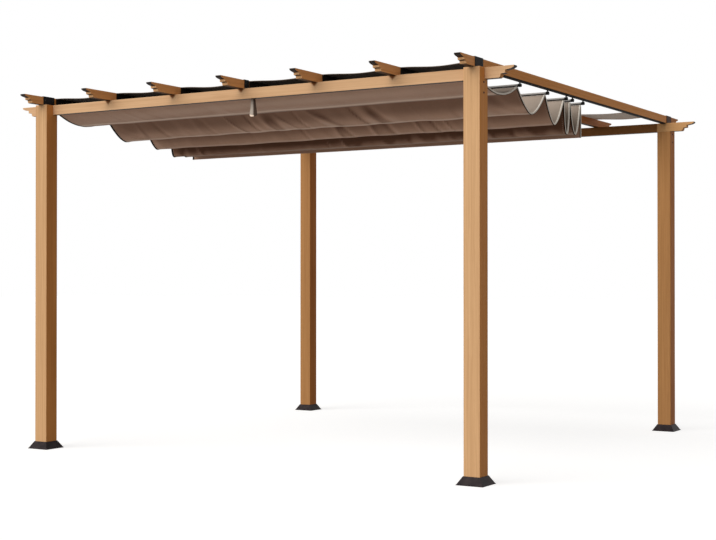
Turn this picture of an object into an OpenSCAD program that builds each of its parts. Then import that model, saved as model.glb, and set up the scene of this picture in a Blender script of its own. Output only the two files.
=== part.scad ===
/* [Plan] */
// Distance between the post centres along the beams
bay_x = 3000; // [2000:50:4000]
// Distance between the post centres along the rafters
bay_y = 3000; // [2400:50:4000]
// Height of the post tops above the ground
post_h = 2150; // [1700:10:2700]

/* [Posts] */
// Outer width of a square post
post_w = 95; // [75:1:140]
// Radius of the long edges of a post
post_edge = 4; // [1:0.5:10]

/* [Foot covers] */
// Width of a foot cover on the ground
cover_w = 155; // [150:1:240]
// Height of a foot cover
cover_h = 45; // [30:1:90]
// Height of the straight rim round the bottom of a foot cover
cover_rim = 4; // [2:0.5:10]
// Wall thickness of a foot cover
cover_wall = 2; // [1:0.5:3]

/* [Beams and rafters] */
// Thickness of a main beam
beam_t = 38; // [25:1:60]
// Height of a main beam
beam_h = 60; // [45:1:120]
// Thickness of a rafter, tail or stub
rafter_t = 38; // [25:1:60]
// Height of a rafter, tail or stub
rafter_h = 50; // [40:1:100]
// How far a beam runs out past the posts
beam_out = 166; // [130:1:300]
// How far a tail or stub runs out past the posts
rafter_out = 160; // [130:1:300]
// How far a stub runs in from the line of the posts
stub_in = 420; // [250:10:600]
// Number of stubs between two whole rafters
stubs_per_bay = 2; // [1:1:4]

/* [Stepped ends] */
// Length of the stepped end of a beam
beam_step_len = 88; // [60:1:120]
// Length of the stepped end of a tail or stub
rafter_step_len = 72; // [50:1:120]
// Thickness of the lip at the very tip
tip_h = 8; // [5:0.5:12]

/* [Brackets] */
// Wall thickness of the brackets over the rafter joints
bracket_wall = 2.5; // [1.5:0.5:4]
// Length of the short bracket at the middle of a beam
mid_bracket_len = 44; // [40:1:80]
// How far the short bracket reaches over its beam
mid_bracket_on = 32; // [22:1:34]

/* [Eave shades] */
// Thickness of an eave shade
shade_t = 3; // [1:0.5:6]
// Distance from the short bracket in to the outer edge of an eave shade
shade_gap = 25; // [1:1:60]

/* [Tracks and rods] */
// Width of the runner track under a rafter
track_w = 16; // [10:1:24]
// Height of the runner track under a rafter
track_h = 7; // [5:0.5:12]
// Diameter of a canopy rod
rod_d = 16; // [10:0.1:20]
// Distance from the rafters' underside down to the rods
rod_drop = 25; // [22:1:40]
// Wall thickness of the knob round the end of a rod
knob_wall = 2; // [1:0.5:5]
// Length of the knob on the end of a rod
knob_len = 18; // [12:1:24]
// Wall thickness of the clip over the middle of a rod
clip_wall = 3; // [2:0.5:5]
// Diameter of the pin that hangs a rod from its track
pin_d = 7; // [5:0.5:10]

/* [Canopy] */
// Thickness of the cloth
cloth_t = 3; // [1:0.5:5]
// How far the side edges of the cloth stay inside the knobs
cloth_edge = 6; // [2:1:60]
// Length of cloth that hangs below the last rod
flap_len = 196; // [80:2:300]
// Length of the pull strap
strap_len = 132; // [80:2:160]
// Width of the pull strap at the top
strap_top_w = 24; // [10:1:30]
// Width of the pull strap at the bottom
strap_end_w = 46; // [20:1:60]
// Distance of the pull strap from the middle of its rod
strap_x = 47; // [30:1:400]

/* [Hidden] */

// Clearances
notch_gap = 0.3;  // behind a beam in the notch of its post
plug_gap = 0.3;   // between a bracket and the rafter inside it
cover_gap = 0.5;  // between a foot cover and its post
track_gap = 2;    // between the end of a track and the beam
soft_gap = 0.3;   // between cloth and what carries it
clip_gap = 0.3;   // between a rod and the clip over its middle

// Distance of each rod behind the front beam, where the canopy stands half drawn
rod_at = [25, 500, 880, 1155, 1250, 1416];
// How deep the cloth hangs in the bay behind each of the first five rods
swag_drop = [65, 126, 156, 193, 184];
// How each bay hangs: 2 is an even curve, less is more pointed and more is squarer
swag_bend = [2, 1.65, 1.6, 2.8, 2];
// How rounded the bottom of a bay is, as a share of half its width
swag_round = 0.08;
// Flat stretches along the curve of one hanging bay
swag_steps = 20;
// Flat stretches along a rounded step
round_steps = 5;
round_fn = 48;

// Places worked out from the driving dimensions
post_x = bay_x / 2;
post_y = bay_y / 2;
post_inner_y = post_y - post_w / 2;
post_outer_y = post_y + post_w / 2;
beam_tip_x = post_x + post_w / 2 + beam_out;
beam_y = post_inner_y + beam_t / 2;
beam_z = post_h - beam_h;
rafter_z = post_h;
rafter_top = rafter_z + rafter_h;
rafter_tip_y = post_outer_y + rafter_out;
stub_end_y = post_y - stub_in;
stub_pitch = post_x / (stubs_per_bay + 1);
stub_x = [for (side = [-1, 1]) for (i = [1 : stubs_per_bay]) side * i * stub_pitch];
cover_top_w = post_w + 2 * (cover_gap + cover_wall);
mid_bracket_y = post_inner_y + mid_bracket_on - mid_bracket_len / 2;
shade_outer_y = mid_bracket_y - mid_bracket_len / 2 - shade_gap;
track_z = rafter_z - track_h;
rod_z = rafter_z - rod_drop;
rod_half_x = post_x - knob_len / 2;
rod_y = [for (at = rod_at) at - post_inner_y];
knob_d = rod_d + 2 * knob_wall;
bead_r = cloth_t;
cloth_z = rod_z - rod_d / 2 - soft_gap - bead_r;
cloth_half_x = rod_half_x - cloth_edge;

oak = "#c99a68";
bronze = "#3a3338";
black = "#1c1b1b";
silver = "#b9b6b2";
taupe = "#8a7163";
sand = "#c9b8a8";

// How high the cloth is in a bay, from 0 at the bottom to 1 at the rods, and its steepness
function bay_size(bend) = pow(1 + swag_round * swag_round, bend / 2) - pow(swag_round, bend);
function bay_rise(t, bend) =
    (pow(t * t + swag_round * swag_round, bend / 2) - pow(swag_round, bend)) / bay_size(bend);
function bay_slope(t, bend) =
    bend * t * pow(t * t + swag_round * swag_round, bend / 2 - 1) / bay_size(bend);

// One side of the cloth in a hanging bay, from its front rod to the next
function hang_line(y0, y1, drop, bend, side) =
    let (half = (y1 - y0) / 2)
    [
        for (i = [0 : swag_steps])
            let (
                s = 2 * i / swag_steps - 1,
                t = (s + sin(90 * s)) / 2,
                along = [half, drop * bay_slope(t, bend)],
                normal = [-along[1], along[0]] / norm(along),
                middle = [y0 + half * (1 + t), cloth_z - drop * (1 - bay_rise(t, bend))]
            )
            middle + side * cloth_t / 2 * normal
    ];

function backwards(points) = [for (i = [len(points) - 1 : -1 : 0]) points[i]];

// The stepped end of a bar along +X, from the top of its tip to its underside at 0
function stepped_end(length, height, step_len) =
    let (
        under_lip = length - 0.19 * step_len,
        first_step = length - 0.57 * step_len,
        second_step = length - 0.86 * step_len,
        foot = length - step_len,
        round_z = 0.33 * height
    )
    concat(
        [
            [length, height],
            [length, height - tip_h],
            [under_lip, 0.73 * height],
            [first_step, 0.63 * height],
            [first_step, 0.38 * height],
            [second_step, round_z]
        ],
        [
            for (i = [1 : round_steps])
                let (a = 90 * i / round_steps)
                [foot + (second_step - foot) * cos(a), round_z * (1 - sin(a))]
        ]
    );

function mirrored(points) = [for (p = points) [-p[0], p[1]]];

// A bar along +X with a square end at 0 and a stepped tip
module stepped_bar(length, height, thickness, step_len) {
    translate([0, thickness / 2, 0])
        rotate([90, 0, 0])
            linear_extrude(thickness)
                polygon(concat([[0, 0], [0, height]], stepped_end(length, height, step_len)));
}

// Turns a bar along +X to run outwards at the front (side -1) or rear (side 1)
module outwards(x, y, side) {
    translate([x, side * y, rafter_z])
        rotate([0, 0, side * 90])
            children();
}

module rounded_square(width, radius) {
    square([width - 2 * radius, width], center = true);
    square([width, width - 2 * radius], center = true);
    for (sx = [-1, 1])
        for (sy = [-1, 1])
            translate([sx, sy] * (width / 2 - radius))
                circle(radius, $fn = round_fn);
}

// A post, with the notch in its inner side that the beam lies in
module post(side_x, side_y) {
    color(oak)
        translate([side_x * post_x, side_y * post_y, 0])
            rotate([0, 0, side_y > 0 ? 0 : 180])
                difference() {
                    linear_extrude(post_h)
                        rounded_square(post_w, post_edge);
                    translate([-post_w, -post_w, beam_z])
                        cube([2 * post_w, post_w / 2 + beam_t + notch_gap, beam_h + 1]);
                }
}

// A square block that narrows from one width to the other
module frustum(low_w, high_w, z0, z1) {
    slope = [[-low_w / 2, z0], [low_w / 2, z0], [high_w / 2, z1], [-high_w / 2, z1]];
    intersection() {
        rotate([90, 0, 0])
            linear_extrude(low_w + 2, center = true)
                polygon(slope);
        rotate([90, 0, 90])
            linear_extrude(low_w + 2, center = true)
                polygon(slope);
    }
}

module foot_cover(side_x, side_y) {
    color(bronze)
        translate([side_x * post_x, side_y * post_y, 0])
            difference() {
                union() {
                    translate([-cover_w / 2, -cover_w / 2, 0])
                        cube([cover_w, cover_w, cover_rim]);
                    frustum(cover_w - 2 * cover_wall, cover_top_w, cover_rim, cover_h);
                }
                translate([-cover_w / 2 + cover_wall, -cover_w / 2 + cover_wall, -1])
                    cube([cover_w - 2 * cover_wall, cover_w - 2 * cover_wall, cover_rim - cover_wall + 1]);
                cover_room();
                linear_extrude(cover_h + 1)
                    square(post_w + 2 * cover_gap, center = true);
            }
}

// The hollow under the sloping walls of a foot cover
module cover_room() {
    frustum(
        cover_w - 4 * cover_wall,
        cover_top_w - 2 * cover_wall,
        cover_rim - cover_wall,
        cover_h - cover_wall
    );
}

// A main beam with a stepped tip at each end
module beam(side_y) {
    color(oak)
        translate([0, side_y * beam_y + beam_t / 2, beam_z])
            rotate([90, 0, 0])
                linear_extrude(beam_t)
                    polygon(concat(
                        stepped_end(beam_tip_x, beam_h, beam_step_len),
                        backwards(mirrored(stepped_end(beam_tip_x, beam_h, beam_step_len)))
                    ));
}

// A rafter between its two joints
module rafter(x, joint_y) {
    color(oak)
        translate([x - rafter_t / 2, -joint_y, rafter_z])
            cube([rafter_t, 2 * joint_y, rafter_h]);
}

module tail(x, joint_y, side_y) {
    color(oak)
        outwards(x, joint_y, side_y)
            stepped_bar(rafter_tip_y - joint_y, rafter_h, rafter_t, rafter_step_len);
}

// A black channel, open below, over the joint of a rafter and its tail
module bracket(x, y, length) {
    room_w = rafter_t + 2 * plug_gap;
    room_h = rafter_h + plug_gap;
    color(black)
        translate([x, y + length / 2, rafter_z])
            rotate([90, 0, 0])
                linear_extrude(length)
                    difference() {
                        translate([-room_w / 2 - bracket_wall, 0])
                            square([room_w + 2 * bracket_wall, room_h + bracket_wall]);
                        translate([-room_w / 2, -1])
                            square([room_w, room_h + 1]);
                    }
}

module stubs(side_y) {
    color(oak)
        for (x = stub_x)
            outwards(x, stub_end_y, side_y)
                stepped_bar(rafter_tip_y - stub_end_y, rafter_h, rafter_t, rafter_step_len);
}

// A strip of cloth along the eaves, laid over the stubs and rafters
module eave_shade(side_y) {
    width = shade_outer_y - stub_end_y;
    color(taupe)
        translate([-post_x, side_y * (shade_outer_y + stub_end_y) / 2 - width / 2, rafter_top + soft_gap])
            cube([bay_x, width, shade_t]);
}

module track(x) {
    half = post_inner_y - track_gap;
    color(black)
        translate([x - track_w / 2, -half, track_z])
            cube([track_w, 2 * half, track_h]);
}

module rod(i) {
    color(silver)
        translate([-rod_half_x, rod_y[i], rod_z])
            rotate([0, 90, 0])
                cylinder(h = 2 * rod_half_x, d = rod_d, $fn = round_fn);
}

// The pins and knobs that carry one end of every rod
module end_hangers(side_x) {
    color(black)
        for (y = rod_y)
            translate([side_x * post_x, y, rod_z]) {
                rotate([0, 90, 0])
                    cylinder(h = knob_len, d = knob_d, center = true, $fn = round_fn);
                cylinder(h = track_z - rod_z, d = pin_d, $fn = round_fn);
            }
}

// The pins and half round clips over the middle of every rod
module middle_hangers() {
    color(black)
        for (y = rod_y)
            translate([0, y, rod_z])
                difference() {
                    union() {
                        translate([-knob_len / 2, -rod_d / 2 - clip_wall, 0])
                            cube([knob_len, rod_d + 2 * clip_wall, rod_d / 2 + clip_wall]);
                        cylinder(h = track_z - rod_z, d = pin_d, $fn = round_fn);
                    }
                    rotate([0, 90, 0])
                        cylinder(h = knob_len + 2, d = rod_d + 2 * clip_gap, center = true, $fn = round_fn);
                }
}

// Stretches an outline drawn across the rods over the whole width of the cloth
module across_width() {
    translate([-cloth_half_x, 0, 0])
        rotate([90, 0, 90])
            linear_extrude(2 * cloth_half_x)
                children();
}

// The whole cloth: a hanging bay between each rod and the next, and a free flap
module canopy() {
    color(taupe)
        union() {
            for (i = [0 : len(swag_drop) - 1])
                across_width()
                    polygon(concat(
                        hang_line(rod_y[i], rod_y[i + 1], swag_drop[i], swag_bend[i], 1),
                        backwards(hang_line(rod_y[i], rod_y[i + 1], swag_drop[i], swag_bend[i], -1))
                    ));
            for (y = rod_y)
                across_width()
                    translate([y, cloth_z])
                        circle(bead_r, $fn = round_fn);
            across_width()
                translate([rod_y[len(rod_y) - 1] - cloth_t / 2, cloth_z - flap_len])
                    square([cloth_t, flap_len]);
        }
}

// The strap that hangs from the first rod, beside its middle clip
module pull_strap() {
    front_y = rod_y[0] - rod_d / 2 - soft_gap;
    color(sand)
        translate([strap_x, front_y, rod_z])
            rotate([90, 0, 0])
                linear_extrude(cloth_t)
                    polygon([
                        [-strap_top_w / 2, 0],
                        [strap_top_w / 2, 0],
                        [strap_end_w / 2, -strap_len],
                        [-strap_end_w / 2, -strap_len]
                    ]);
}

post(-1, -1);  // post_front_left
post(1, -1);  // post_front_right
post(-1, 1);  // post_rear_left
post(1, 1);  // post_rear_right
foot_cover(-1, -1);  // foot_cover_front_left
foot_cover(1, -1);  // foot_cover_front_right
foot_cover(-1, 1);  // foot_cover_rear_left
foot_cover(1, 1);  // foot_cover_rear_right
beam(-1);  // beam_front
beam(1);  // beam_rear
rafter(-post_x, post_y);  // rafter_left
rafter(0, beam_y);  // rafter_middle
rafter(post_x, post_y);  // rafter_right
tail(-post_x, post_y, -1);  // tail_front_left
tail(0, beam_y, -1);  // tail_front_middle
tail(post_x, post_y, -1);  // tail_front_right
tail(-post_x, post_y, 1);  // tail_rear_left
tail(0, beam_y, 1);  // tail_rear_middle
tail(post_x, post_y, 1);  // tail_rear_right
bracket(-post_x, -post_y, post_w);  // bracket_front_left
bracket(0, -mid_bracket_y, mid_bracket_len);  // bracket_front_middle
bracket(post_x, -post_y, post_w);  // bracket_front_right
bracket(-post_x, post_y, post_w);  // bracket_rear_left
bracket(0, mid_bracket_y, mid_bracket_len);  // bracket_rear_middle
bracket(post_x, post_y, post_w);  // bracket_rear_right
stubs(-1);  // stubs_front
stubs(1);  // stubs_rear
eave_shade(-1);  // eave_shade_front
eave_shade(1);  // eave_shade_rear
track(-post_x);  // track_left
track(0);  // track_middle
track(post_x);  // track_right
rod(0);  // rod_1
rod(1);  // rod_2
rod(2);  // rod_3
rod(3);  // rod_4
rod(4);  // rod_5
rod(5);  // rod_6
end_hangers(-1);  // hangers_left
middle_hangers();  // hangers_middle
end_hangers(1);  // hangers_right
canopy();
pull_strap();
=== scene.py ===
import bisect
import math

import bmesh
import bpy
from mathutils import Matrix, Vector, noise


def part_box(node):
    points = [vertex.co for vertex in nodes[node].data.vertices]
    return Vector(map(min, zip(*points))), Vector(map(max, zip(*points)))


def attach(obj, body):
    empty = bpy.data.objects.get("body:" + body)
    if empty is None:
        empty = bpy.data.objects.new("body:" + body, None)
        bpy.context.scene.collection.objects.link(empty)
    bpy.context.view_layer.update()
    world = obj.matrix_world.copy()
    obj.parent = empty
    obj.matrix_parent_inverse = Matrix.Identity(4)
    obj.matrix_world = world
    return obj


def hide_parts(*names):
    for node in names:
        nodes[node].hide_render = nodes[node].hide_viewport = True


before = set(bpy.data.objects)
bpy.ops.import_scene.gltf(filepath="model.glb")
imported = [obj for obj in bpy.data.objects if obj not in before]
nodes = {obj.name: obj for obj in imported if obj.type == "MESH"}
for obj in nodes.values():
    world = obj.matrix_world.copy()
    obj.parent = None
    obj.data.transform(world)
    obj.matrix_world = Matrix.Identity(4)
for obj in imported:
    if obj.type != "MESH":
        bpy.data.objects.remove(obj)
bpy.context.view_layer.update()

scene = bpy.context.scene
scene.view_settings.view_transform = "Standard"
print("frame loaded,", len(nodes), "nodes")

cameraSetup = {
    "place": (4.675, -7.909, 1.053),
    "tilt": 90.42,    # degrees up from straight down
    "turn": 31.22,    # degrees left of +Y
    "lens": 69.47,
    "sensor": 36,
    "farthest": 200,
}
lightSetup = {
    "keyTurn": -18,    # degrees, below 0 to the left of the front
    "keyHeight": 30,    # degrees above the floor
    "keySoftness": 62,
    "keyStrength": 2.75,
    "keyTint": (1.0, 0.985, 0.96),
    "skyStrength": 0.3,
    "skyTint": (1.0, 0.97, 0.93, 1),
    "floorGlow": 0.71,   # added only where the floor itself is seen
    "floorTone": 0.46,
    "floorHalf": 60,
}
white = (1, 1, 1, 1)


def addCamera(setup):
    data = bpy.data.cameras.new("camera")
    data.sensor_width = setup["sensor"]
    data.lens = setup["lens"]
    data.clip_end = setup["farthest"]
    camera = bpy.data.objects.new("camera", data)
    camera.location = setup["place"]
    camera.rotation_euler = (math.radians(setup["tilt"]), 0, math.radians(setup["turn"]))
    scene.collection.objects.link(camera)
    scene.camera = camera


def addNode(tree, kind, inputs=None, **settings):
    made = tree.nodes.new(kind)
    for key, value in settings.items():
        setattr(made, key, value)
    for key, value in (inputs or {}).items():
        if isinstance(value, bpy.types.Node):
            value = value.outputs[0]
        if isinstance(value, bpy.types.NodeSocket):
            tree.links.new(value, made.inputs[key])
        else:
            made.inputs[key].default_value = value
    return made


def maths(tree, operation, first, second=0.0):
    return addNode(tree, "ShaderNodeMath", {0: first, 1: second}, operation=operation).outputs[0]


def product(tree, first, *others):
    for value in others:
        first = maths(tree, "MULTIPLY", first, value)
    return first


def seenDirectly(tree):
    # 1 for what the camera sees itself, in a reflection or through glass
    path = addNode(tree, "ShaderNodeLightPath").outputs
    some = maths(tree, "MAXIMUM", path["Is Camera Ray"], path["Is Glossy Ray"])
    return maths(tree, "MAXIMUM", some, path["Is Transmission Ray"])


def addWorld(setup):
    world = bpy.data.worlds.new("studio")
    scene.world = world
    world.use_nodes = True
    tree = world.node_tree
    tree.nodes.clear()
    backdrop = addNode(tree, "ShaderNodeBackground", {"Color": white, "Strength": 1.0})
    sky = addNode(tree, "ShaderNodeBackground", {"Color": setup["skyTint"], "Strength": setup["skyStrength"]})
    shaders = {0: seenDirectly(tree), 1: sky, 2: backdrop}
    mix = addNode(tree, "ShaderNodeMixShader", shaders)
    addNode(tree, "ShaderNodeOutputWorld", {0: mix})


def addKey(setup):
    sun = bpy.data.lights.new("key", "SUN")
    sun.energy = setup["keyStrength"]
    sun.angle = math.radians(setup["keySoftness"])
    sun.color = setup["keyTint"]
    lamp = bpy.data.objects.new("key", sun)
    lamp.rotation_euler = (math.radians(90 - setup["keyHeight"]), 0, math.radians(setup["keyTurn"]))
    scene.collection.objects.link(lamp)


def addFloor(setup):
    mesh = bpy.data.meshes.new("floor")
    half = setup["floorHalf"]
    spots = [(-half, -half, 0), (half, -half, 0), (half, half, 0), (-half, half, 0)]
    mesh.from_pydata(spots, [], [(0, 1, 2, 3)])
    floor = bpy.data.objects.new("floor", mesh)
    scene.collection.objects.link(floor)
    paint = bpy.data.materials.new("floorPaint")
    paint.use_nodes = True
    tree = paint.node_tree
    tree.nodes.clear()
    tone = setup["floorTone"]
    matt = addNode(tree, "ShaderNodeBsdfDiffuse", {"Color": (tone, tone, tone, 1)})
    lit = product(tree, seenDirectly(tree), setup["floorGlow"])
    glow = addNode(tree, "ShaderNodeEmission", {"Color": white, "Strength": lit})
    both = addNode(tree, "ShaderNodeAddShader", {0: matt, 1: glow})
    addNode(tree, "ShaderNodeOutputMaterial", {0: both})
    mesh.materials.append(paint)


addCamera(cameraSetup)
addWorld(lightSetup)
addKey(lightSetup)
addFloor(lightSetup)
print("camera, light and floor made")


def newFinish(name, **fixed):
    finish = bpy.data.materials.new(name)
    finish.use_nodes = True
    tree = finish.node_tree
    shader = tree.nodes["Principled BSDF"]
    for key, value in fixed.items():
        shader.inputs[key].default_value = value
    return finish, tree, shader


def mixColour(tree, factor, first, second, blend="MIX"):
    mix = tree.nodes.new("ShaderNodeMix")
    mix.data_type = "RGBA"
    mix.blend_type = blend
    for place, value in ((0, factor), (6, first), (7, second)):
        if isinstance(value, bpy.types.NodeSocket):
            tree.links.new(value, mix.inputs[place])
        else:
            mix.inputs[place].default_value = (*value, 1) if isinstance(value, tuple) else value
    return mix.outputs[2]


def remap(tree, value, low, high, toLow=0.0, toHigh=1.0):
    return addNode(tree, "ShaderNodeMapRange", {0: value, 1: low, 2: high, 3: toLow, 4: toHigh}).outputs[0]


def stretched(tree, source, scale):
    return addNode(tree, "ShaderNodeMapping", {"Vector": source, "Scale": scale}).outputs[0]


def noiseOf(tree, vector, scale=1.0, detail=2.0, rough=0.5):
    inputs = {"Vector": vector, "Scale": scale, "Detail": detail, "Roughness": rough}
    return addNode(tree, "ShaderNodeTexNoise", inputs).outputs[0]


def dress(tree, shader, colour, rough, height, distance, strength):
    bump = addNode(tree, "ShaderNodeBump", {"Strength": strength, "Distance": distance, "Height": height})
    for key, value in (("Base Color", colour), ("Roughness", rough), ("Normal", bump.outputs[0])):
        tree.links.new(value, shader.inputs[key])


def tinted(tree, share, colour, tint):
    return mixColour(tree, share, colour, tint, "MULTIPLY")


def normalParts(tree):
    normal = addNode(tree, "ShaderNodeNewGeometry").outputs["Normal"]
    return addNode(tree, "ShaderNodeSeparateXYZ", {0: normal}).outputs


def objectParts(tree):
    place = addNode(tree, "ShaderNodeTexCoord").outputs["Object"]
    return addNode(tree, "ShaderNodeSeparateXYZ", {0: place}).outputs


def inRange(tree, value, low, high, soft):
    above = remap(tree, value, low - soft, low + soft)
    below = remap(tree, value, high - soft, high + soft, 1.0, 0.0)
    return product(tree, above, below)


def repeated(tree, value, pitch, shift):
    # how far through its own bay a place is, from 0 to 1; the shift keeps the sum above 0
    return maths(tree, "FRACT", maths(tree, "DIVIDE", maths(tree, "ADD", value, shift), pitch))


midNoise = (0.3, 0.7)    # where most of a noise lies
wood = {
    "pale": (0.69, 0.422, 0.217),
    "mid": (0.585, 0.341, 0.168),
    "deep": (0.43, 0.228, 0.1),
    # painted shade: the next tint darkens faces turned sideways, the one after it faces turned down
    "sideShadeTint": (1.0, 0.69, 0.37),
    "underShadeTint": (0.05, 0.032, 0.022),
    "shadowTint": (0.3, 0.14, 0.04),    # painted shadow under each stub, on the face of the front beam
    "insideShadeTint": (0.32, 0.24, 0.15),    # painted shade on the inner face of the rear beam, between the posts
    "shadeBlack": (0.01, 0.008, 0.007),    # painted shade, near black, on the sides of the bars beneath the front eave shade
    "ior": 1.45,
    "shine": 0.08,
    "rough": (0.58, 0.46),
    "poreDepth": 0.6,
    "bumpHeight": 0.0005,
    "bumpShare": 0.5,
}
woodGrain = {    # scale across and along the grain, the noise, where it shows and how much
    "broad": {"scale": (13, 13, 0.45), "detail": 2, "rough": 0.5, "span": (0.35, 0.75), "share": 0.38},
    "streak": {"scale": (95, 95, 1.3), "detail": 4, "rough": 0.6, "span": (0.33, 0.68), "share": 1.0},
    "pores": {"scale": (430, 430, 11), "detail": 2, "rough": 0.5, "span": (0.6, 0.72), "share": 0.3},
    "rings": {"scale": (6, 6, 0.55), "span": (0.62, 1.0), "share": 0.22},
}
ringWave = {"Scale": 2.6, "Distortion": 7.0, "Detail": 3.0, "Detail Scale": 1.4}
grainOrder = {"z": (0, 1, 2), "x": (1, 2, 0), "y": (2, 0, 1)}
turnedTo = {    # the part of the normal over which a face starts to count
    "side": (0.45, 0.95), "shadedSide": (0.6, 0.9), "below": (-0.95, -0.6), "front": (-0.9, -0.6),
}
paintEdge = {"along": 0.004, "across": 0.002, "inside": 0.003}    # how soft the painted places end


def stubShadow(tree, parts, facing, spot):
    # painted shadow: a soft wedge below each bar that crosses the beam, widest at the top
    pitch = spot["pitch"]
    turn = repeated(tree, parts[0], pitch, spot["shift"] * pitch + pitch / 2)
    away = product(tree, maths(tree, "ABSOLUTE", maths(tree, "SUBTRACT", turn, 0.5)), pitch)
    reach = remap(tree, parts[2], spot["top"] - spot["depth"], spot["top"], spot["start"], spot["half"])
    inside = remap(tree, maths(tree, "SUBTRACT", reach, away), *spot["edge"])
    front = remap(tree, facing[1], *turnedTo["front"], 1.0, 0.0)
    return product(tree, inside, front, spot["share"])


def paintedShadeSide(tree, parts, facing, zone):
    # painted shade, near black, on the sides of the bars under the front eave shade
    under = inRange(tree, parts[1], *zone["y"], paintEdge["along"])
    between = inRange(tree, parts[0], -zone["x"], zone["x"], paintEdge["across"])
    sideways = remap(tree, maths(tree, "ABSOLUTE", facing[0]), *turnedTo["shadedSide"])
    return product(tree, under, between, sideways)


def woodFinish(name, grain, tone=(1, 1, 1), side=1.0, shadeZone=None, spot=None, inside=None):
    fixed = {"IOR": wood["ior"], "Specular IOR Level": wood["shine"]}
    finish, tree, shader = newFinish(name, **fixed)
    parts = objectParts(tree)
    turned = {i: parts[k] for i, k in enumerate(grainOrder[grain])}
    along = addNode(tree, "ShaderNodeCombineXYZ", turned).outputs[0]
    shown = {}
    for key in ("broad", "streak", "pores"):
        made = woodGrain[key]
        shown[key] = noiseOf(tree, stretched(tree, along, made["scale"]), 1.0, made["detail"], made["rough"])
    wave = {"Vector": stretched(tree, along, woodGrain["rings"]["scale"]), **ringWave}
    shown["rings"] = addNode(tree, "ShaderNodeTexWave", wave, bands_direction="X").outputs[1]
    shares = {
        key: remap(tree, value, *woodGrain[key]["span"], 0.0, woodGrain[key]["share"])
        for key, value in shown.items()
    }
    colour = mixColour(tree, shares["streak"], wood["mid"], wood["pale"])
    for key in ("broad", "rings", "pores"):
        colour = mixColour(tree, shares[key], colour, wood["deep"])
    facing = normalParts(tree)
    # painted shade on faces turned sideways and on faces turned down
    sideways = remap(tree, maths(tree, "ABSOLUTE", facing[0]), *turnedTo["side"], 0.0, side)
    colour = tinted(tree, sideways, colour, wood["sideShadeTint"])
    below = remap(tree, facing[2], *turnedTo["below"], 1.0, 0.0)
    colour = tinted(tree, below, colour, wood["underShadeTint"])
    # an overall tint; the rear wood uses it as painted shade and the front stubs as painted light
    if tone != (1, 1, 1):
        colour = tinted(tree, 1.0, colour, tone)
    # painted shadow below each stub
    if spot:
        colour = tinted(tree, stubShadow(tree, parts, facing, spot), colour, wood["shadowTint"])
    # painted shade on the bars' sides under the front eave shade
    if shadeZone:
        inShade = paintedShadeSide(tree, parts, facing, shadeZone)
        colour = mixColour(tree, inShade, colour, wood["shadeBlack"])
    # painted shade on the inner face between the posts
    if inside:
        between = inRange(tree, parts[0], -inside, inside, paintEdge["inside"])
        inward = remap(tree, facing[1], *turnedTo["front"], 1.0, 0.0)
        colour = tinted(tree, product(tree, between, inward), colour, wood["insideShadeTint"])
    rough = remap(tree, shown["streak"], *midNoise, *wood["rough"])
    height = maths(tree, "SUBTRACT", shown["streak"], product(tree, shown["pores"], wood["poreDepth"]))
    dress(tree, shader, colour, rough, height, wood["bumpHeight"], wood["bumpShare"])
    return finish


coatLook = {"patchSpan": (0.35, 0.68), "roughSpread": 0.05, "underShadeSpan": (-0.45, 0.02), "bumpShare": 0.6}


def coatedFinish(
    name, dark, light, rough, shine,
    grainScale=900, depth=0.00012, metal=0.0, patch=6.0, underShadeTone=None,
):
    finish, tree, shader = newFinish(name, **{"Metallic": metal, "Specular IOR Level": shine})
    place = addNode(tree, "ShaderNodeTexCoord").outputs["Object"]
    fine = noiseOf(tree, place, grainScale, 2)
    cloudy = noiseOf(tree, place, patch, 3)
    colour = mixColour(tree, remap(tree, cloudy, *coatLook["patchSpan"]), dark, light)
    # painted shade on faces turned down
    if underShadeTone:
        below = remap(tree, normalParts(tree)[2], *coatLook["underShadeSpan"], 1.0, 0.0)
        colour = mixColour(tree, below, colour, underShadeTone)
    spread = coatLook["roughSpread"]
    fineRough = remap(tree, fine, *midNoise, -spread, spread)
    broadRough = remap(tree, cloudy, *midNoise, rough - spread, rough + spread)
    both = maths(tree, "ADD", fineRough, broadRough)
    dress(tree, shader, colour, both, fine, depth, coatLook["bumpShare"])
    return finish


def attributeOf(tree, label):
    return addNode(tree, "ShaderNodeAttribute", attribute_name=label).outputs["Fac"]


clothLook = {
    "waveUnit": 0.314159,    # metres between the bands of a wave texture of scale 1
    "threads": (40, 420, 1),
    "threadsAcross": (420, 40, 1),
    "cloud": {"scale": 3.5, "detail": 4, "rough": 0.6},
    "cloudShare": 0.6,
    "slubSpan": (0.7, 1.3),
    "slubShare": 0.4,
    "gapTint": (0.45, 0.45, 0.45),    # between the threads
    "shine": 0.05,
    "sheenRough": 0.5,
    "rough": (0.95, 0.84),
    "bumpHeight": 0.0003,
    "bumpShare": 0.5,
    "threadDepth": 0.5,
}


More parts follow.
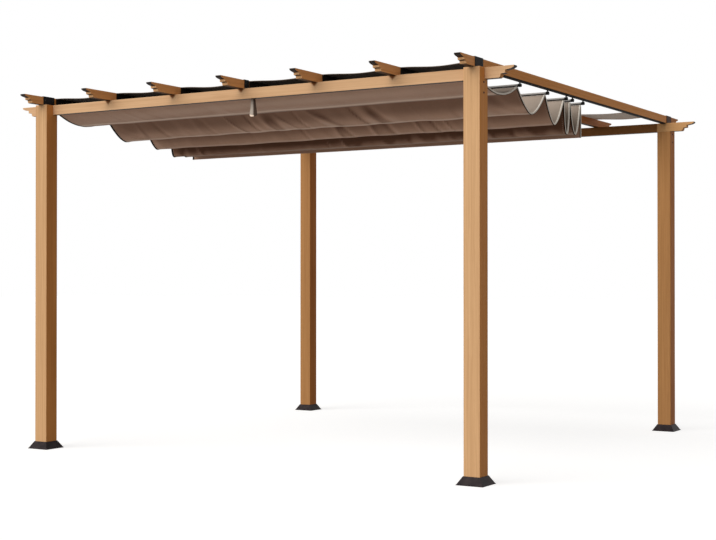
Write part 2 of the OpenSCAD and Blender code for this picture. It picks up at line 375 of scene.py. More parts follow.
def clothFinish(
    name, dark, light, pitch=0.0016, slub=0.25, sheen=0.15,
    under=None, spread=None, folds=None,
):
    fixed = {
        "Specular IOR Level": clothLook["shine"],
        "Sheen Weight": sheen, "Sheen Roughness": clothLook["sheenRough"],
    }
    finish, tree, shader = newFinish(name, **fixed)
    uv = addNode(tree, "ShaderNodeTexCoord").outputs["UV"]
    wave = {"Vector": uv, "Scale": clothLook["waveUnit"] / pitch}
    warp = addNode(tree, "ShaderNodeTexWave", wave, bands_direction="X").outputs[1]
    weft = addNode(tree, "ShaderNodeTexWave", wave, bands_direction="Y").outputs[1]
    weave = product(tree, warp, weft)
    threads = noiseOf(tree, stretched(tree, uv, clothLook["threads"]))
    threadsAcross = noiseOf(tree, stretched(tree, uv, clothLook["threadsAcross"]))
    cloudy = noiseOf(tree, uv, *clothLook["cloud"].values())
    bothWays = maths(tree, "ADD", threads, threadsAcross)
    slubs = remap(tree, bothWays, *clothLook["slubSpan"], 0.0, clothLook["slubShare"])
    tone = maths(tree, "ADD", remap(tree, cloudy, *midNoise, 0.0, clothLook["cloudShare"]), slubs)
    colour = mixColour(tree, tone, dark, light)
    # the underside layer gets its own colours; the finishes below use them for painted light or painted shade
    if under:
        lower = mixColour(tree, tone, under[0], under[1])
        # a spread paints shade across each bay, darkest at its left
        if spread:
            pitched = spread["pitch"]
            share = repeated(tree, objectParts(tree)[0], pitched, spread["shift"] * pitched)
            lower = mixColour(tree, remap(tree, share, *spread["span"]), lower, spread["pale"])
        colour = mixColour(tree, attributeOf(tree, "under"), colour, lower)
    colour = tinted(tree, remap(tree, weave, 0.0, 1.0, slub, 0.0), colour, clothLook["gapTint"])
    # painted shade and painted highlight along the crease and rim marks
    if folds:
        for label, darker, lighter in (("crease", "dark", "light"), ("rim", "rimDark", "rimLight")):
            mark = attributeOf(tree, label)
            shade = remap(tree, mark, 0.0, -1.0, 0.0, folds[darker])
            colour = tinted(tree, shade, colour, folds["shadow"])
            shine = remap(tree, mark, 0.0, 1.0, 0.0, folds[lighter])
            colour = mixColour(tree, shine, colour, folds["glow"])
    rough = remap(tree, tone, 0.0, 1.0, *clothLook["rough"])
    height = maths(tree, "ADD", weave, product(tree, threads, clothLook["threadDepth"]))
    dress(tree, shader, colour, rough, height, clothLook["bumpHeight"], clothLook["bumpShare"])
    return finish


shadeLow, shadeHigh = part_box("eave_shade_front")
shadeMargin = 0.021    # how far outside the front shade the painted shade on the bars starts
baysAcross = 6
barPitch = (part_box("rafter_right")[0].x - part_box("rafter_left")[0].x) / baysAcross
halfSpan = baysAcross / 2 * barPitch    # from the middle rafter to an outer one
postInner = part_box("post_rear_right")[0].x
underShade = {"y": (shadeLow.y - shadeMargin, shadeHigh.y), "x": halfSpan}
# painted shadow below each stub on the front beam's face
stubShadowWedge = {
    "pitch": barPitch,
    "shift": 10,
    "top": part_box("beam_front")[1].z,
    "depth": 0.03,
    "start": -0.006,    # half width at the lower tip, below 0 so that the tip is round
    "half": 0.027,
    "edge": (-0.004, 0.01),
    "share": 0.95,
}

postWood = woodFinish("postWood", "z")
# the rear wood finishes are darker copies of the front ones: painted shade
postWoodRearShaded = woodFinish("postWoodRearShaded", "z", (0.7, 0.575, 0.42))
beamWood = woodFinish("beamWood", "x", (1.0, 1.04, 1.14), spot=stubShadowWedge)
beamWoodRearShaded = woodFinish("beamWoodRearShaded", "x", (0.9, 0.83, 0.7), inside=postInner)
# the front rafters and stubs get a near-black painted shade on their sides under the eave shade
rafterWoodFront = woodFinish("rafterWoodFront", "y", (1.08, 1.08, 1.06), 1.0, underShade)
# the front stubs are also lighter all over: painted light on sides the key light misses
stubWoodFront = woodFinish("stubWoodFront", "y", (1.22, 1.17, 1.12), 0.65, underShade)
stubWoodRearShaded = woodFinish("stubWoodRearShaded", "y", (0.7, 0.6, 0.47))
coats = {    # darkest and lightest colour, roughness and shine, then what else differs
    "endCapPaint": ((0.012, 0.008, 0.006), (0.024, 0.016, 0.012), 0.5, 0.06, {}),
    "coverPaint": ((0.018, 0.0135, 0.015), (0.04, 0.03, 0.031), 0.44, 0.07, {"patch": 28.0}),
    "bracketPlastic": ((0.009, 0.008, 0.0085), (0.017, 0.0155, 0.016), 0.55, 0.06, {"grainScale": 700}),
    # a lighter, browner copy of the black bracket plastic for the rear brackets: painted light
    "bracketPlasticRearLit": ((0.07, 0.04, 0.031), (0.095, 0.056, 0.044), 0.55, 0.06, {"grainScale": 700}),
    "trackPaint": ((0.01, 0.009, 0.009), (0.02, 0.018, 0.018), 0.45, 0.06, {}),
    "hangerPlastic": ((0.007, 0.007, 0.007), (0.013, 0.0125, 0.0125), 0.45, 0.06, {"grainScale": 700}),
    # the rods' undersides are painted dark: painted shade
    "rodMetal": (
        (0.29, 0.282, 0.272), (0.37, 0.36, 0.348), 0.42, 0.12,
        {"grainScale": 1200, "depth": 0.00006, "underShadeTone": (0.03, 0.027, 0.025)},
    ),
    "screwSteel": (
        (0.02, 0.015, 0.012), (0.045, 0.034, 0.026), 0.4, 0.3,
        {"grainScale": 1500, "depth": 0.00005, "metal": 0.3, "patch": 60.0},
    ),
    "threadFinish": (
        (0.42, 0.35, 0.29), (0.56, 0.48, 0.41), 0.75, 0.05, {"grainScale": 2500, "depth": 0.00004},
    ),
}
coat = {name: coatedFinish(name, *look, **rest) for name, (*look, rest) in coats.items()}
# painted shade and painted highlight for the cloth's crease and rim marks
canopyFoldShading = {
    "dark": 0.95, "light": 0.45, "shadow": (0.22, 0.16, 0.12), "glow": (1.0, 0.8, 0.64),
    "rimLight": 0.95, "rimDark": 0.95,
}
strapFoldShading = {**canopyFoldShading, "dark": 1.0, "shadow": (0.16, 0.12, 0.1)}
# the underside is lighter and warmer than the top: painted light shining through the cloth
canopyCloth = clothFinish(
    "canopyCloth", (0.385, 0.315, 0.26), (0.48, 0.4, 0.335),
    under=((0.56, 0.335, 0.232), (0.69, 0.425, 0.3)), folds=canopyFoldShading,
)
# the underside is near black, paler towards the right of each bay: painted shade
eaveClothFrontShadedBelow = clothFinish(
    "eaveClothFrontShadedBelow", (0.26, 0.21, 0.175), (0.32, 0.265, 0.225),
    under=((0.022, 0.018, 0.018), (0.03, 0.025, 0.025)),
    spread={"pitch": halfSpan, "shift": 20, "span": (0.05, 1.0), "pale": (0.11, 0.098, 0.092)},
)
# the underside is much lighter than the top: painted light shining through the cloth
eaveClothRearLitBelow = clothFinish(
    "eaveClothRearLitBelow", (0.3, 0.245, 0.21), (0.37, 0.31, 0.27),
    under=((0.74, 0.62, 0.53), (0.84, 0.73, 0.64)),
)
# a near-black tape under the canopy's edges, standing in for the shade along them: painted shade
edgeShadeCloth = clothFinish("edgeShadeCloth", (0.012, 0.009, 0.008), (0.022, 0.017, 0.014), 0.0012, sheen=0.02)
pipingCloth = clothFinish("pipingCloth", (0.86, 0.79, 0.7), (0.93, 0.87, 0.78), 0.0011, 0.06, 0.05)
strapCloth = clothFinish("strapCloth", (0.46, 0.39, 0.33), (0.58, 0.5, 0.43), 0.0011, folds=strapFoldShading)
print("finishes made")


def newPiece(name, mesh, *finishes):
    piece = bpy.data.objects.new(name, mesh)
    scene.collection.objects.link(piece)
    for finish in finishes:
        mesh.materials.append(finish)
    return piece


def finishPiece(piece, slotName, *replaced):
    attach(piece, "root")
    if replaced:
        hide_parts(*replaced)
    return piece


cleanLook = {"merge": 0.00002, "flat": 0.6}    # metres, and degrees between faces that count as one


def meshFrom(name, form):
    mesh = bpy.data.meshes.new(name)
    form.to_mesh(mesh)
    form.free()
    return mesh


def mergedCopy(nodeName):
    form = bmesh.new()
    form.from_mesh(nodes[nodeName].data)
    bmesh.ops.remove_doubles(form, verts=form.verts, dist=cleanLook["merge"])
    flat = math.radians(cleanLook["flat"])
    bmesh.ops.dissolve_limit(form, angle_limit=flat, verts=form.verts, edges=form.edges)
    return meshFrom(nodeName, form)


def closedMesh(name, form):
    bmesh.ops.recalc_face_normals(form, faces=form.faces)
    return meshFrom(name, form)


bevelLook = {"angle": 32, "weight": 80}


def soften(piece, width, steps=2):
    bevel = piece.modifiers.new("edges", "BEVEL")
    bevel.width = width
    bevel.segments = steps
    bevel.limit_method = "ANGLE"
    bevel.angle_limit = math.radians(bevelLook["angle"])
    bevel.use_clamp_overlap = True
    normals = piece.modifiers.new("normals", "WEIGHTED_NORMAL")
    normals.keep_sharp = True
    normals.weight = bevelLook["weight"]
    piece.data.polygons.foreach_set("use_smooth", [True] * len(piece.data.polygons))


def bake(piece):
    # the modifiers' result becomes the piece's own plain mesh
    graph = bpy.context.evaluated_depsgraph_get()
    shaped = piece.evaluated_get(graph)
    mesh = bpy.data.meshes.new_from_object(shaped, preserve_all_data_layers=True, depsgraph=graph)
    piece.modifiers.clear()
    piece.data = mesh
    return piece


def lathe(name, profile, sides):
    form = bmesh.new()
    turns = [2 * math.pi * k / sides for k in range(sides)]
    rings = []
    for radius, height in profile:
        if radius == 0:
            rings.append([form.verts.new((0, 0, height))])
        else:
            rings.append([form.verts.new((radius * math.cos(a), radius * math.sin(a), height)) for a in turns])
    for low, high in zip(rings, rings[1:]):
        for k in range(sides):
            n = (k + 1) % sides
            square = [low[k % len(low)], low[n % len(low)], high[n % len(high)], high[k % len(high)]]
            form.faces.new(list(dict.fromkeys(square)))
    for end in (rings[0], rings[-1]):
        if len(end) > 1:
            form.faces.new(end)
    return closedMesh(name, form)


def treeWith(name, *sockets):
    tree = bpy.data.node_groups.new(name, "GeometryNodeTree")
    tree.interface.new_socket("Geometry", in_out="OUTPUT", socket_type="NodeSocketGeometry")
    tree.interface.new_socket("Geometry", in_out="INPUT", socket_type="NodeSocketGeometry")
    for label, kind in sockets:
        tree.interface.new_socket(label, in_out="INPUT", socket_type=kind)
    return tree, addNode(tree, "NodeGroupInput").outputs


def closeTree(tree, geometry, material):
    real = addNode(tree, "GeometryNodeRealizeInstances", {0: geometry})
    coated = addNode(tree, "GeometryNodeSetMaterial", {0: real, "Material": material})
    addNode(tree, "NodeGroupOutput", {0: coated})
    return tree


def copiesTree():
    # one copy of the template on each point, its Z axis along the point's facing
    tree, given = treeWith(
        "copiesAtPoints",
        ("Template", "NodeSocketObject"), ("Size", "NodeSocketFloat"), ("Spin", "NodeSocketFloat"),
        ("Seed", "NodeSocketInt"), ("Finish", "NodeSocketMaterial"),
    )
    template = addNode(
        tree, "GeometryNodeObjectInfo", {"Object": given["Template"]}, transform_space="ORIGINAL",
    )
    facing = addNode(
        tree, "GeometryNodeInputNamedAttribute", {"Name": "facing"}, data_type="FLOAT_VECTOR",
    )
    turned = addNode(tree, "FunctionNodeAlignRotationToVector", {"Vector": facing}, axis="Z")
    draw = {2: 0.0, 3: given["Spin"], "Seed": given["Seed"]}
    amount = addNode(tree, "FunctionNodeRandomValue", draw, data_type="FLOAT")
    turn = {"Axis": (0, 0, 1), "Angle": amount.outputs[1]}
    about = addNode(tree, "FunctionNodeAxisAngleToRotation", turn)
    both = {0: turned, 1: about}
    spun = addNode(tree, "FunctionNodeRotateRotation", both, rotation_space="LOCAL")
    points = addNode(tree, "GeometryNodeMeshToPoints", {0: given["Geometry"]})
    placed = addNode(
        tree, "GeometryNodeInstanceOnPoints",
        {
            "Points": points, "Instance": template.outputs["Geometry"],
            "Rotation": spun, "Scale": given["Size"],
        },
    )
    return closeTree(tree, placed, given["Finish"])


def tubeTree():
    tree, given = treeWith(
        "tubeAlongPath",
        ("Radius", "NodeSocketFloat"), ("Sides", "NodeSocketInt"), ("Finish", "NodeSocketMaterial"),
    )
    path = addNode(tree, "GeometryNodeMeshToCurve", {0: given["Geometry"]})
    circle = {"Resolution": given["Sides"], "Radius": given["Radius"]}
    ring = addNode(tree, "GeometryNodeCurvePrimitiveCircle", circle)
    swept = {0: path, 1: ring, "Fill Caps": True}
    tube = addNode(tree, "GeometryNodeCurveToMesh", swept)
    smooth = addNode(tree, "GeometryNodeSetShadeSmooth", {0: tube})
    return closeTree(tree, smooth, given["Finish"])


copyTree = copiesTree()
pathTree = tubeTree()


def useTree(piece, tree, **values):
    modifier = piece.modifiers.new(tree.name, "NODES")
    modifier.node_group = tree
    for item in tree.interface.items_tree:
        if item.item_type == "SOCKET" and item.in_out == "INPUT" and item.name in values:
            modifier[item.identifier] = values[item.name]
    return bake(piece)


def pointMesh(name, places, facings):
    mesh = bpy.data.meshes.new(name)
    mesh.from_pydata(places, [], [])
    facing = mesh.attributes.new("facing", "FLOAT_VECTOR", "POINT")
    facing.data.foreach_set("vector", [v for f in facings for v in f])
    return mesh


def copiesAt(name, templateMesh, places, facings, finish, size=1.0, spin=0.0, seed=3):
    template = bpy.data.objects.new(name + "Template", templateMesh)
    piece = newPiece(name, pointMesh(name, places, facings))
    useTree(piece, copyTree, Template=template, Size=size, Spin=spin, Seed=seed, Finish=finish)
    bpy.data.objects.remove(template)
    return piece


def tubesAlong(name, paths, radius, sides, finish):
    verts, edges = [], []
    for path in paths:
        start = len(verts)
        verts += path
        edges += [(start + i, start + i + 1) for i in range(len(path) - 1)]
    mesh = bpy.data.meshes.new(name)
    mesh.from_pydata(verts, edges, [])
    piece = newPiece(name, mesh)
    return useTree(piece, pathTree, Radius=radius, Sides=sides, Finish=finish)


sides = (("left", -1), ("right", 1))
depths = (("front", -1), ("rear", 1))
placeNames = ("left", "middle", "right")
corners = [(side, depth) for depth, _ in depths for side, _ in sides]
finishOf = {    # post, beam, bars and bracket
    "front": (postWood, beamWood, stubWoodFront, coat["bracketPlastic"]),
    # the rear column holds darker wood, painted shade, and a lighter bracket, painted light
    "rear": (postWoodRearShaded, beamWoodRearShaded, stubWoodRearShaded, coat["bracketPlasticRearLit"]),
}
barLook = {
    "edge": 0.0012,
    "tipReach": 0.014,    # how far in from a bar's tip its faces are dark
    "turned": 0.5,    # faces turned up or sideways more than this keep their wood
}


def darkenTips(mesh, axis, box, ends):
    for face in mesh.polygons:
        centre = face.center[axis]
        for end in ends:
            limit = box[0][axis] if end < 0 else box[1][axis]
            beyond = end * (centre - limit) > -barLook["tipReach"]
            if beyond and max(abs(face.normal[1 - axis]), face.normal[2]) < barLook["turned"]:
                face.material_index = 1


def makeBar(nodeName, finish, slotName, axis=None, ends=()):
    mesh = mergedCopy(nodeName)
    piece = newPiece(nodeName + "Body", mesh, finish, coat["endCapPaint"])
    if ends:
        darkenTips(mesh, axis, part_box(nodeName), ends)
    soften(piece, barLook["edge"])
    return finishPiece(piece, slotName, nodeName)


for side, depth in corners:
    makeBar(f"post_{depth}_{side}", finishOf[depth][0], "post_finish")
for depth, _ in depths:
    makeBar(f"beam_{depth}", finishOf[depth][1], "beam_finish", 0, (-1, 1))
for place in placeNames:
    makeBar(f"rafter_{place}", rafterWoodFront, "rafter_finish")
for depth, end in depths:
    for nodeName in [f"tail_{depth}_{place}" for place in placeNames] + [f"stubs_{depth}"]:
        makeBar(nodeName, finishOf[depth][2], "rafter_finish", 1, (end,))
print("bars made")


shellLook = {"edge": 0.0009}


def makeShell(nodeName, finish, slotName):
    piece = newPiece(nodeName + "Shell", mergedCopy(nodeName), finish)
    soften(piece, shellLook["edge"])
    return finishPiece(piece, slotName, nodeName)


for side, depth in corners:
    makeShell(f"foot_cover_{depth}_{side}", coat["coverPaint"], "foot_cover_finish")
for depth, _ in depths:
    for place in placeNames:
        makeShell(f"bracket_{depth}_{place}", finishOf[depth][3], "bracket_plastic")
print("covers and brackets made")


trackShape = {"slotHalf": 0.005, "wall": 0.0014, "edge": 0.0004}


def makeTrack(nodeName):
    # a hollow rail with a slot along its underside
    low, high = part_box(nodeName)
    middle = (low.x + high.x) / 2
    half = (high.x - low.x) / 2
    wall, slot = trackShape["wall"], trackShape["slotHalf"]
    outline = [
        (-half, low.z), (-slot, low.z), (-slot, low.z + wall), (-half + wall, low.z + wall),
        (-half + wall, high.z - wall), (half - wall, high.z - wall), (half - wall, low.z + wall),
        (slot, low.z + wall), (slot, low.z), (half, low.z), (half, high.z), (-half, high.z),
    ]
    form = bmesh.new()
    front = [form.verts.new((middle + x, low.y, z)) for x, z in outline]
    back = [form.verts.new((middle + x, high.y, z)) for x, z in outline]
    count = len(outline)
    for k in range(count):
        form.faces.new((front[k], front[(k + 1) % count], back[(k + 1) % count], back[k]))
    form.faces.new(front)
    form.faces.new(back)
    piece = newPiece(nodeName + "Rail", closedMesh(nodeName + "Rail", form), coat["trackPaint"])
    soften(piece, trackShape["edge"], 1)
    return finishPiece(piece, "track_finish", nodeName)


for place in placeNames:
    makeTrack(f"track_{place}")
print("tracks made")


rodShape = {"sides": 32, "lengths": 12}
rodBoxes = [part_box(f"rod_{i}") for i in range(1, 7)]
rodCentres = [(low + high) / 2 for low, high in rodBoxes]
rodRadius = (rodBoxes[0][1].z - rodBoxes[0][0].z) / 2
for i, (low, high) in enumerate(rodBoxes):
    count = rodShape["lengths"]
    xs = [low.x + (high.x - low.x) * k / count for k in range(count + 1)]
    line = [(x, rodCentres[i].y, rodCentres[i].z) for x in xs]
    rod = tubesAlong(f"rod{i + 1}Tube", [line], rodRadius, rodShape["sides"], coat["rodMetal"])
    finishPiece(rod, "rod_metal", f"rod_{i + 1}")
print("rods made")


hanger = {
    "knobSides": 32,
    "knobWall": 0.002,
    "knobFace": 0.8,    # the flat of a knob's end, as a share of its radius
    "knobNeck": 0.93,
    "knobSteps": (0.0006, 0.0022, 0.0052, 0.006),    # from each end to the rims of its band
    "pinSides": 16,
    "pinRadius": 0.0035,
    "collar": 0.0052,
    "collarEdge": 0.85,
    "collarSteps": (0.006, 0.0056, 0.0048, 0.003, 0.0022, 0.0018),    # down from the track
    "clipEdge": 0.0007,
}


def knobTemplate():
    low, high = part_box("hangers_right")
    half = (high.x - low.x) / 2
    radius = rodRadius + hanger["knobWall"]
    neck, face = radius * hanger["knobNeck"], radius * hanger["knobFace"]
    end, start, stop, waist = hanger["knobSteps"]
    profile = [
        (0, -half), (face, -half), (neck, -half + end), (radius, -half + start),
        (radius, -half + stop), (neck, -half + waist), (neck, half - waist), (radius, half - stop),
        (radius, half - start), (neck, half - end), (face, half), (0, half),
    ]
    return lathe("knob", profile, hanger["knobSides"])


def pinTemplate(bottom, top):
    radius, collar = hanger["pinRadius"], hanger["collar"]
    edge = collar * hanger["collarEdge"]
    widths = (radius, edge, collar, collar, edge, radius)
    ring = [(width, top - step) for width, step in zip(widths, hanger["collarSteps"])]
    profile = [(0, bottom), (radius, bottom), *ring, (radius, top), (0, top)]
    return lathe("pin", profile, hanger["pinSides"])


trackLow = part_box("track_left")[0].z
for side, sign in sides:
    low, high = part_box(f"hangers_{side}")
    spots = [((low.x + high.x) / 2, c.y, c.z) for c in rodCentres]
    knobs = copiesAt(f"knobs_{side}", knobTemplate(), spots, [(sign, 0, 0)] * len(spots), coat["hangerPlastic"])
    finishPiece(knobs, "hanger_plastic", f"hangers_{side}")
    pin = pinTemplate(rodRadius, trackLow - rodCentres[0].z)
    pins = copiesAt(f"pins_{side}", pin, spots, [(0, 0, 1)] * len(spots), coat["hangerPlastic"])
    finishPiece(pins, "hanger_plastic")

clips = newPiece("clips_middle", mergedCopy("hangers_middle"), coat["hangerPlastic"])
soften(clips, hanger["clipEdge"])
finishPiece(clips, "hanger_plastic", "hangers_middle")
print("hangers made")


cloth = {
    "half": 0.0009,    # half the cloth's thickness
    "topGap": 0.003,    # from the top of the canopy's space down to the cloth
    "bottomGap": 0.0015,
    "rodMargin": 0.005,
    "columns": 240,
    "rowsPerBay": 28,
    "flapRows": 16,
    "flapSwing": 0.004,
    "bend": [2, 1.65, 1.6, 2.8, 2],    # 2 hangs evenly, less is more pointed
    "bottomRound": 0.08,
    "curveSteps": 240,
    "waveDepth": 0.003,
    "creaseDepth": [0.0015, 0.0056, 0.0036, 0.0022, 0.0022],
    # how strongly each bay's folds are painted with shade and highlight
    "creaseShading": [0.25, 0.55, 0.42, 0.4, 0.4],
    "creaseFade": 0.8,    # how quickly the folds die out towards the rods
    "pullDepth": 0.0016,   # the long pull lines of the first bay
    "pullShading": 0.6,
    "topShading": 0.4,    # how much of the folds' painted shade and highlight shows on the top
    "hollow": 0.6,    # painted shade: how dark the top of each bay behind the first is
    "hollowSpan": (0.22, 0.45),    # how far above the bottom it starts, and over how much it deepens
    "baseShade": [-0.2, -0.02, 0.04, 0.55, 0.55],    # painted shade over each bay's underside; below 0 it is painted light
    "deepBayShade": [0, 0, 0.1, 0.55, 0.55],    # painted shade inside the narrow bays
    "rimReach": [0.2, 0.12, 0.12, 0.2, 0.2],
    "seed": 11.0,
}
crimp = {
    "slant": 23,    # degrees, down and to the right
    "halfWidth": 0.14,
    "ridgeAt": 0.17,
    "ridgeShare": 0.9,
    "fineShare": 0.35,
    "depthShare": 0.3,
    "patch": (0.12, 0.35, 2.2),    # the least, the middle and the spread of how strong the folds are
}
clothNoise = {    # how often it turns across and along, then its draw for the first bay and each step on
    "line": ((7.5, 1.5), (20, 3.7)),
    "fine": ((24.0, 4.0), (40, 3.7)),
    "patch": ((1.5, 1.2), (70, 2.9)),
    "wave": ((1.7, 3.0), (0, 5.1)),
    "pull": ((0.8, 16), (60, 2.3)),
    "swing": ((3.0, 4), (90, 0)),
}
clothLow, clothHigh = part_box("canopy")
clothTop = clothHigh.z - cloth["topGap"]
clothHalfX = clothHigh.x
canopyPoints = [v.co for v in nodes["canopy"].data.vertices]


def within(value, low, high):
    return max(low, min(high, value))


def bayRise(bend, t):
    # 0 at the bottom of the bay and 1 at its rods, with the slope beside it
    soft = cloth["bottomRound"] ** 2
    size = (1 + soft) ** (bend / 2) - soft ** (bend / 2)
    rise = ((t * t + soft) ** (bend / 2) - soft ** (bend / 2)) / size
    return rise, bend * t * (t * t + soft) ** (bend / 2 - 1) / size


def hangingBays():
    # each bay's place and depth, and how much cloth its curve takes
    made = []
    steps = cloth["curveSteps"]
    margin = cloth["rodMargin"]
    for a, b, bend in zip(rodCentres, rodCentres[1:], cloth["bend"]):
        lowest = min(p.z for p in canopyPoints if a.y + margin < p.y < b.y - margin)
        drop = clothTop - lowest - cloth["bottomGap"]
        half = (b.y - a.y) / 2
        heights = [drop * bayRise(bend, 2 * k / steps - 1)[0] for k in range(steps + 1)]
        lengths = [0.0]
        for low, high in zip(heights, heights[1:]):
            lengths.append(lengths[-1] + math.hypot(2 * half / steps, high - low))
        made.append({
            "start": a.y, "half": half, "drop": drop, "bend": bend,
            "lengths": lengths, "arc": lengths[-1],
        })
    return made


bays = hangingBays()
flapLength = clothTop - clothLow.z


def softNoise(a, b, c):
    return noise.noise(Vector((a, b, c + cloth["seed"])))


def bayNoise(kind, across, along, bay=0):
    rate, (start, step) = clothNoise[kind]
    return softNoise(across * rate[0], along * rate[1], start + bay * step)


def creaseAt(bay, x, along):
    # slanting pull lines, from -1 in a fold to 1 on the ridge beside it
    slant = math.radians(crimp["slant"])
    across = x * math.cos(slant) - along * math.sin(slant)
    down = x * math.sin(slant) + along * math.cos(slant)
    line = bayNoise("line", across, down, bay)
    fold = max(0.0, 1 - abs(line) / crimp["halfWidth"])
    ridge = max(0.0, 1 - abs(line - crimp["ridgeAt"]) / crimp["halfWidth"])
    fine = bayNoise("fine", across, down, bay)
    least, middle, spread = crimp["patch"]
    where = within(middle + spread * bayNoise("patch", x, along, bay), least, 1.0)
    return line, where * (crimp["ridgeShare"] * ridge - fold + crimp["fineShare"] * fine)


def ruffle(bay, x, share, along):
    # how far the cloth stands off its curve, and the painted shade or highlight of its folds there
    fade = math.sin(math.pi * share) ** cloth["creaseFade"]
    wave = bayNoise("wave", x, along, bay)
    line, crease = creaseAt(bay, x, along)
    pull = bayNoise("pull", x, along, bay) if bay == 0 else 0.0
    folds = cloth["creaseDepth"][bay] * (line + crimp["depthShare"] * crease)
    depth = cloth["waveDepth"] * wave + folds + cloth["pullDepth"] * pull
    tone = within(crease * cloth["creaseShading"][bay] + cloth["pullShading"] * pull, -1.0, 1.0)
    return fade * depth, fade * tone


def hollowAt(bay, t):
    # painted shade on the upper part of a bay, which lies in the shade of the one in front
    start, reach = cloth["hollowSpan"]
    share = within((-t - start) / reach, 0.0, 1.0) if bay else 0.0
    return cloth["baseShade"][bay] + cloth["hollow"] * share * share * (3 - 2 * share)


def rimAt(bay, t):
    # painted highlight just ahead of the lowest line, and painted shade just behind it
    reach = cloth["rimReach"][bay]
    return max(0.0, 1 - abs(t + reach / 2) / (reach / 2)) - max(0.0, 1 - abs(t - reach) / reach)


def shareToSpot(bay, share):
    # a share of the bay's cloth as a place across it, from -1 to 1
    lengths = bay["lengths"]
    target = share * bay["arc"]
    k = max(1, min(len(lengths) - 1, bisect.bisect_left(lengths, target)))
    part = (target - lengths[k - 1]) / (lengths[k] - lengths[k - 1])
    return 2 * (k - 1 + part) / (len(lengths) - 1) - 1


def clothPoint(x, bay, share):
    # where the cloth is, how far along it that lies, then its painted shade and highlight marks, crease and
    # rim, on top and below
    along = sum(b["arc"] for b in bays[:bay])
    if bay < len(bays):
        b = bays[bay]
        t = shareToSpot(b, share)
        rise, slope = bayRise(b["bend"], t)
        slope *= b["drop"] / b["half"]
        size = math.hypot(1, slope)
        along += share * b["arc"]
        push, crease = ruffle(bay, x, share, along)
        y = b["start"] + b["half"] * (1 + t) - slope / size * push
        z = clothTop - b["drop"] * (1 - rise) + push / size
        above = cloth["topShading"] * crease - cloth["deepBayShade"][bay] * (1 - rise)
        below = within(crease - hollowAt(bay, t), -1.0, 1.0)
        return Vector((x, y, z)), along, above, below, 0.0, rimAt(bay, t)
    drop = share * flapLength
    swing = cloth["flapSwing"] * share * bayNoise("swing", x, drop)
    return Vector((x, rodCentres[-1].y + swing, clothTop - drop)), along + drop, 0.0, 0.0, 0.0, 0.0


def clothRows():
    perBay, flap = cloth["rowsPerBay"], cloth["flapRows"]
    rows = [(bay, k / perBay) for bay in range(len(bays)) for k in range(perBay)]
    return rows + [(len(bays), k / flap) for k in range(flap + 1)]


sharpFold = 50    # degrees between two faces of a sheet before their edge is sharp


def sheetMesh(name, grid, uvGrid, half, finish, marks=None):
    # a closed sheet round a grid of points; marks hold one grid for its top and one for its underside
    rows, columns = len(grid), len(grid[0])

    def at(r, c):
        return r * columns + c

    cells = [(r, c) for r in range(rows) for c in range(columns)]
    normals = []
    for r, c in cells:
        across = grid[r][min(c + 1, columns - 1)] - grid[r][max(c - 1, 0)]
        down = grid[min(r + 1, rows - 1)][c] - grid[max(r - 1, 0)][c]
        normals.append(across.cross(down).normalized())
    spots = [grid[r][c] for r, c in cells]
    verts = [p + n * side for side in (half, -half) for p, n in zip(spots, normals)]
    offset = len(cells)
    faces = []
    for r in range(rows - 1):
        for c in range(columns - 1):
            square = (at(r, c), at(r, c + 1), at(r + 1, c + 1), at(r + 1, c))
            faces.append(square)
            faces.append(tuple(offset + v for v in reversed(square)))
    border = [at(0, c) for c in range(columns)] + [at(r, columns - 1) for r in range(1, rows)]
    border += [at(rows - 1, c) for c in range(columns - 2, -1, -1)] + [at(r, 0) for r in range(rows - 2, 0, -1)]
    for k, v in enumerate(border):
        w = border[(k + 1) % len(border)]
        faces.append((w, v, offset + v, offset + w))
    mesh = bpy.data.meshes.new(name)
    mesh.from_pydata(verts, [], faces)
    flatUv = [uvGrid[r][c] for r, c in cells]
    layer = mesh.uv_layers.new(name="cloth")
    for loop in mesh.loops:
        layer.data[loop.index].uv = flatUv[loop.vertex_index % offset]
    mesh.polygons.foreach_set("use_smooth", [True] * len(mesh.polygons))
    form = bmesh.new()
    form.from_mesh(mesh)
    form.normal_update()
    for edge in form.edges:
        if len(edge.link_faces) == 2 and edge.calc_face_angle(0) > math.radians(sharpFold):
            edge.smooth = False
    form.to_mesh(mesh)
    form.free()
    lower = mesh.attributes.new("under", "FLOAT", "POINT")
    lower.data.foreach_set("value", [0.0] * offset + [1.0] * offset)
    for label, layers in (marks or {}).items():
        values = [v for layer in layers for line in layer for v in line]
        mesh.attributes.new(label, "FLOAT", "POINT").data.foreach_set("value", values)
    return newPiece(name, mesh, finish)


def makeCanopy():
    xs = [clothHalfX * (2 * c / cloth["columns"] - 1) for c in range(cloth["columns"] + 1)]
    table = [[clothPoint(x, bay, share) for x in xs] for bay, share in clothRows()]
    grid = [[spot[0] for spot in line] for line in table]
    uvs = [[(x, spot[1]) for x, spot in zip(xs, line)] for line in table]
    marks = {
        label: [[[spot[place] for spot in line] for line in table] for place in places]
        for label, places in (("crease", (2, 3)), ("rim", (4, 5)))
    }
    return sheetMesh("canopySheet", grid, uvs, cloth["half"], canopyCloth, marks)


canopy = makeCanopy()
finishPiece(canopy, "canopy_cloth", "canopy")

edging = {
    "piping": 0.0054,
    "pipingSides": 10,
    "pipingInset": 0.0035,
    "pipingLift": 0.0034,
    "tapeWidth": {"left": 0.013, "right": 0.0055},
    "tapeHalf": 0.0006,
    "tapeDrop": 0.0022,    # how far below the cloth's middle the tape lies
    "tapeRow": 0.018,
    "welt": 0.0028,
    "weltLift": 0.0002,
    "weltSteps": 40,
    "stitchPitch": 0.011,
    "stitchInset": 0.016,
    "stitchLift": 0.0003,
    "stitchSides": 5,
    "thread": [(0, -0.0036), (0.0006, -0.003), (0.0009, 0), (0.0006, 0.003), (0, 0.0036)],
}


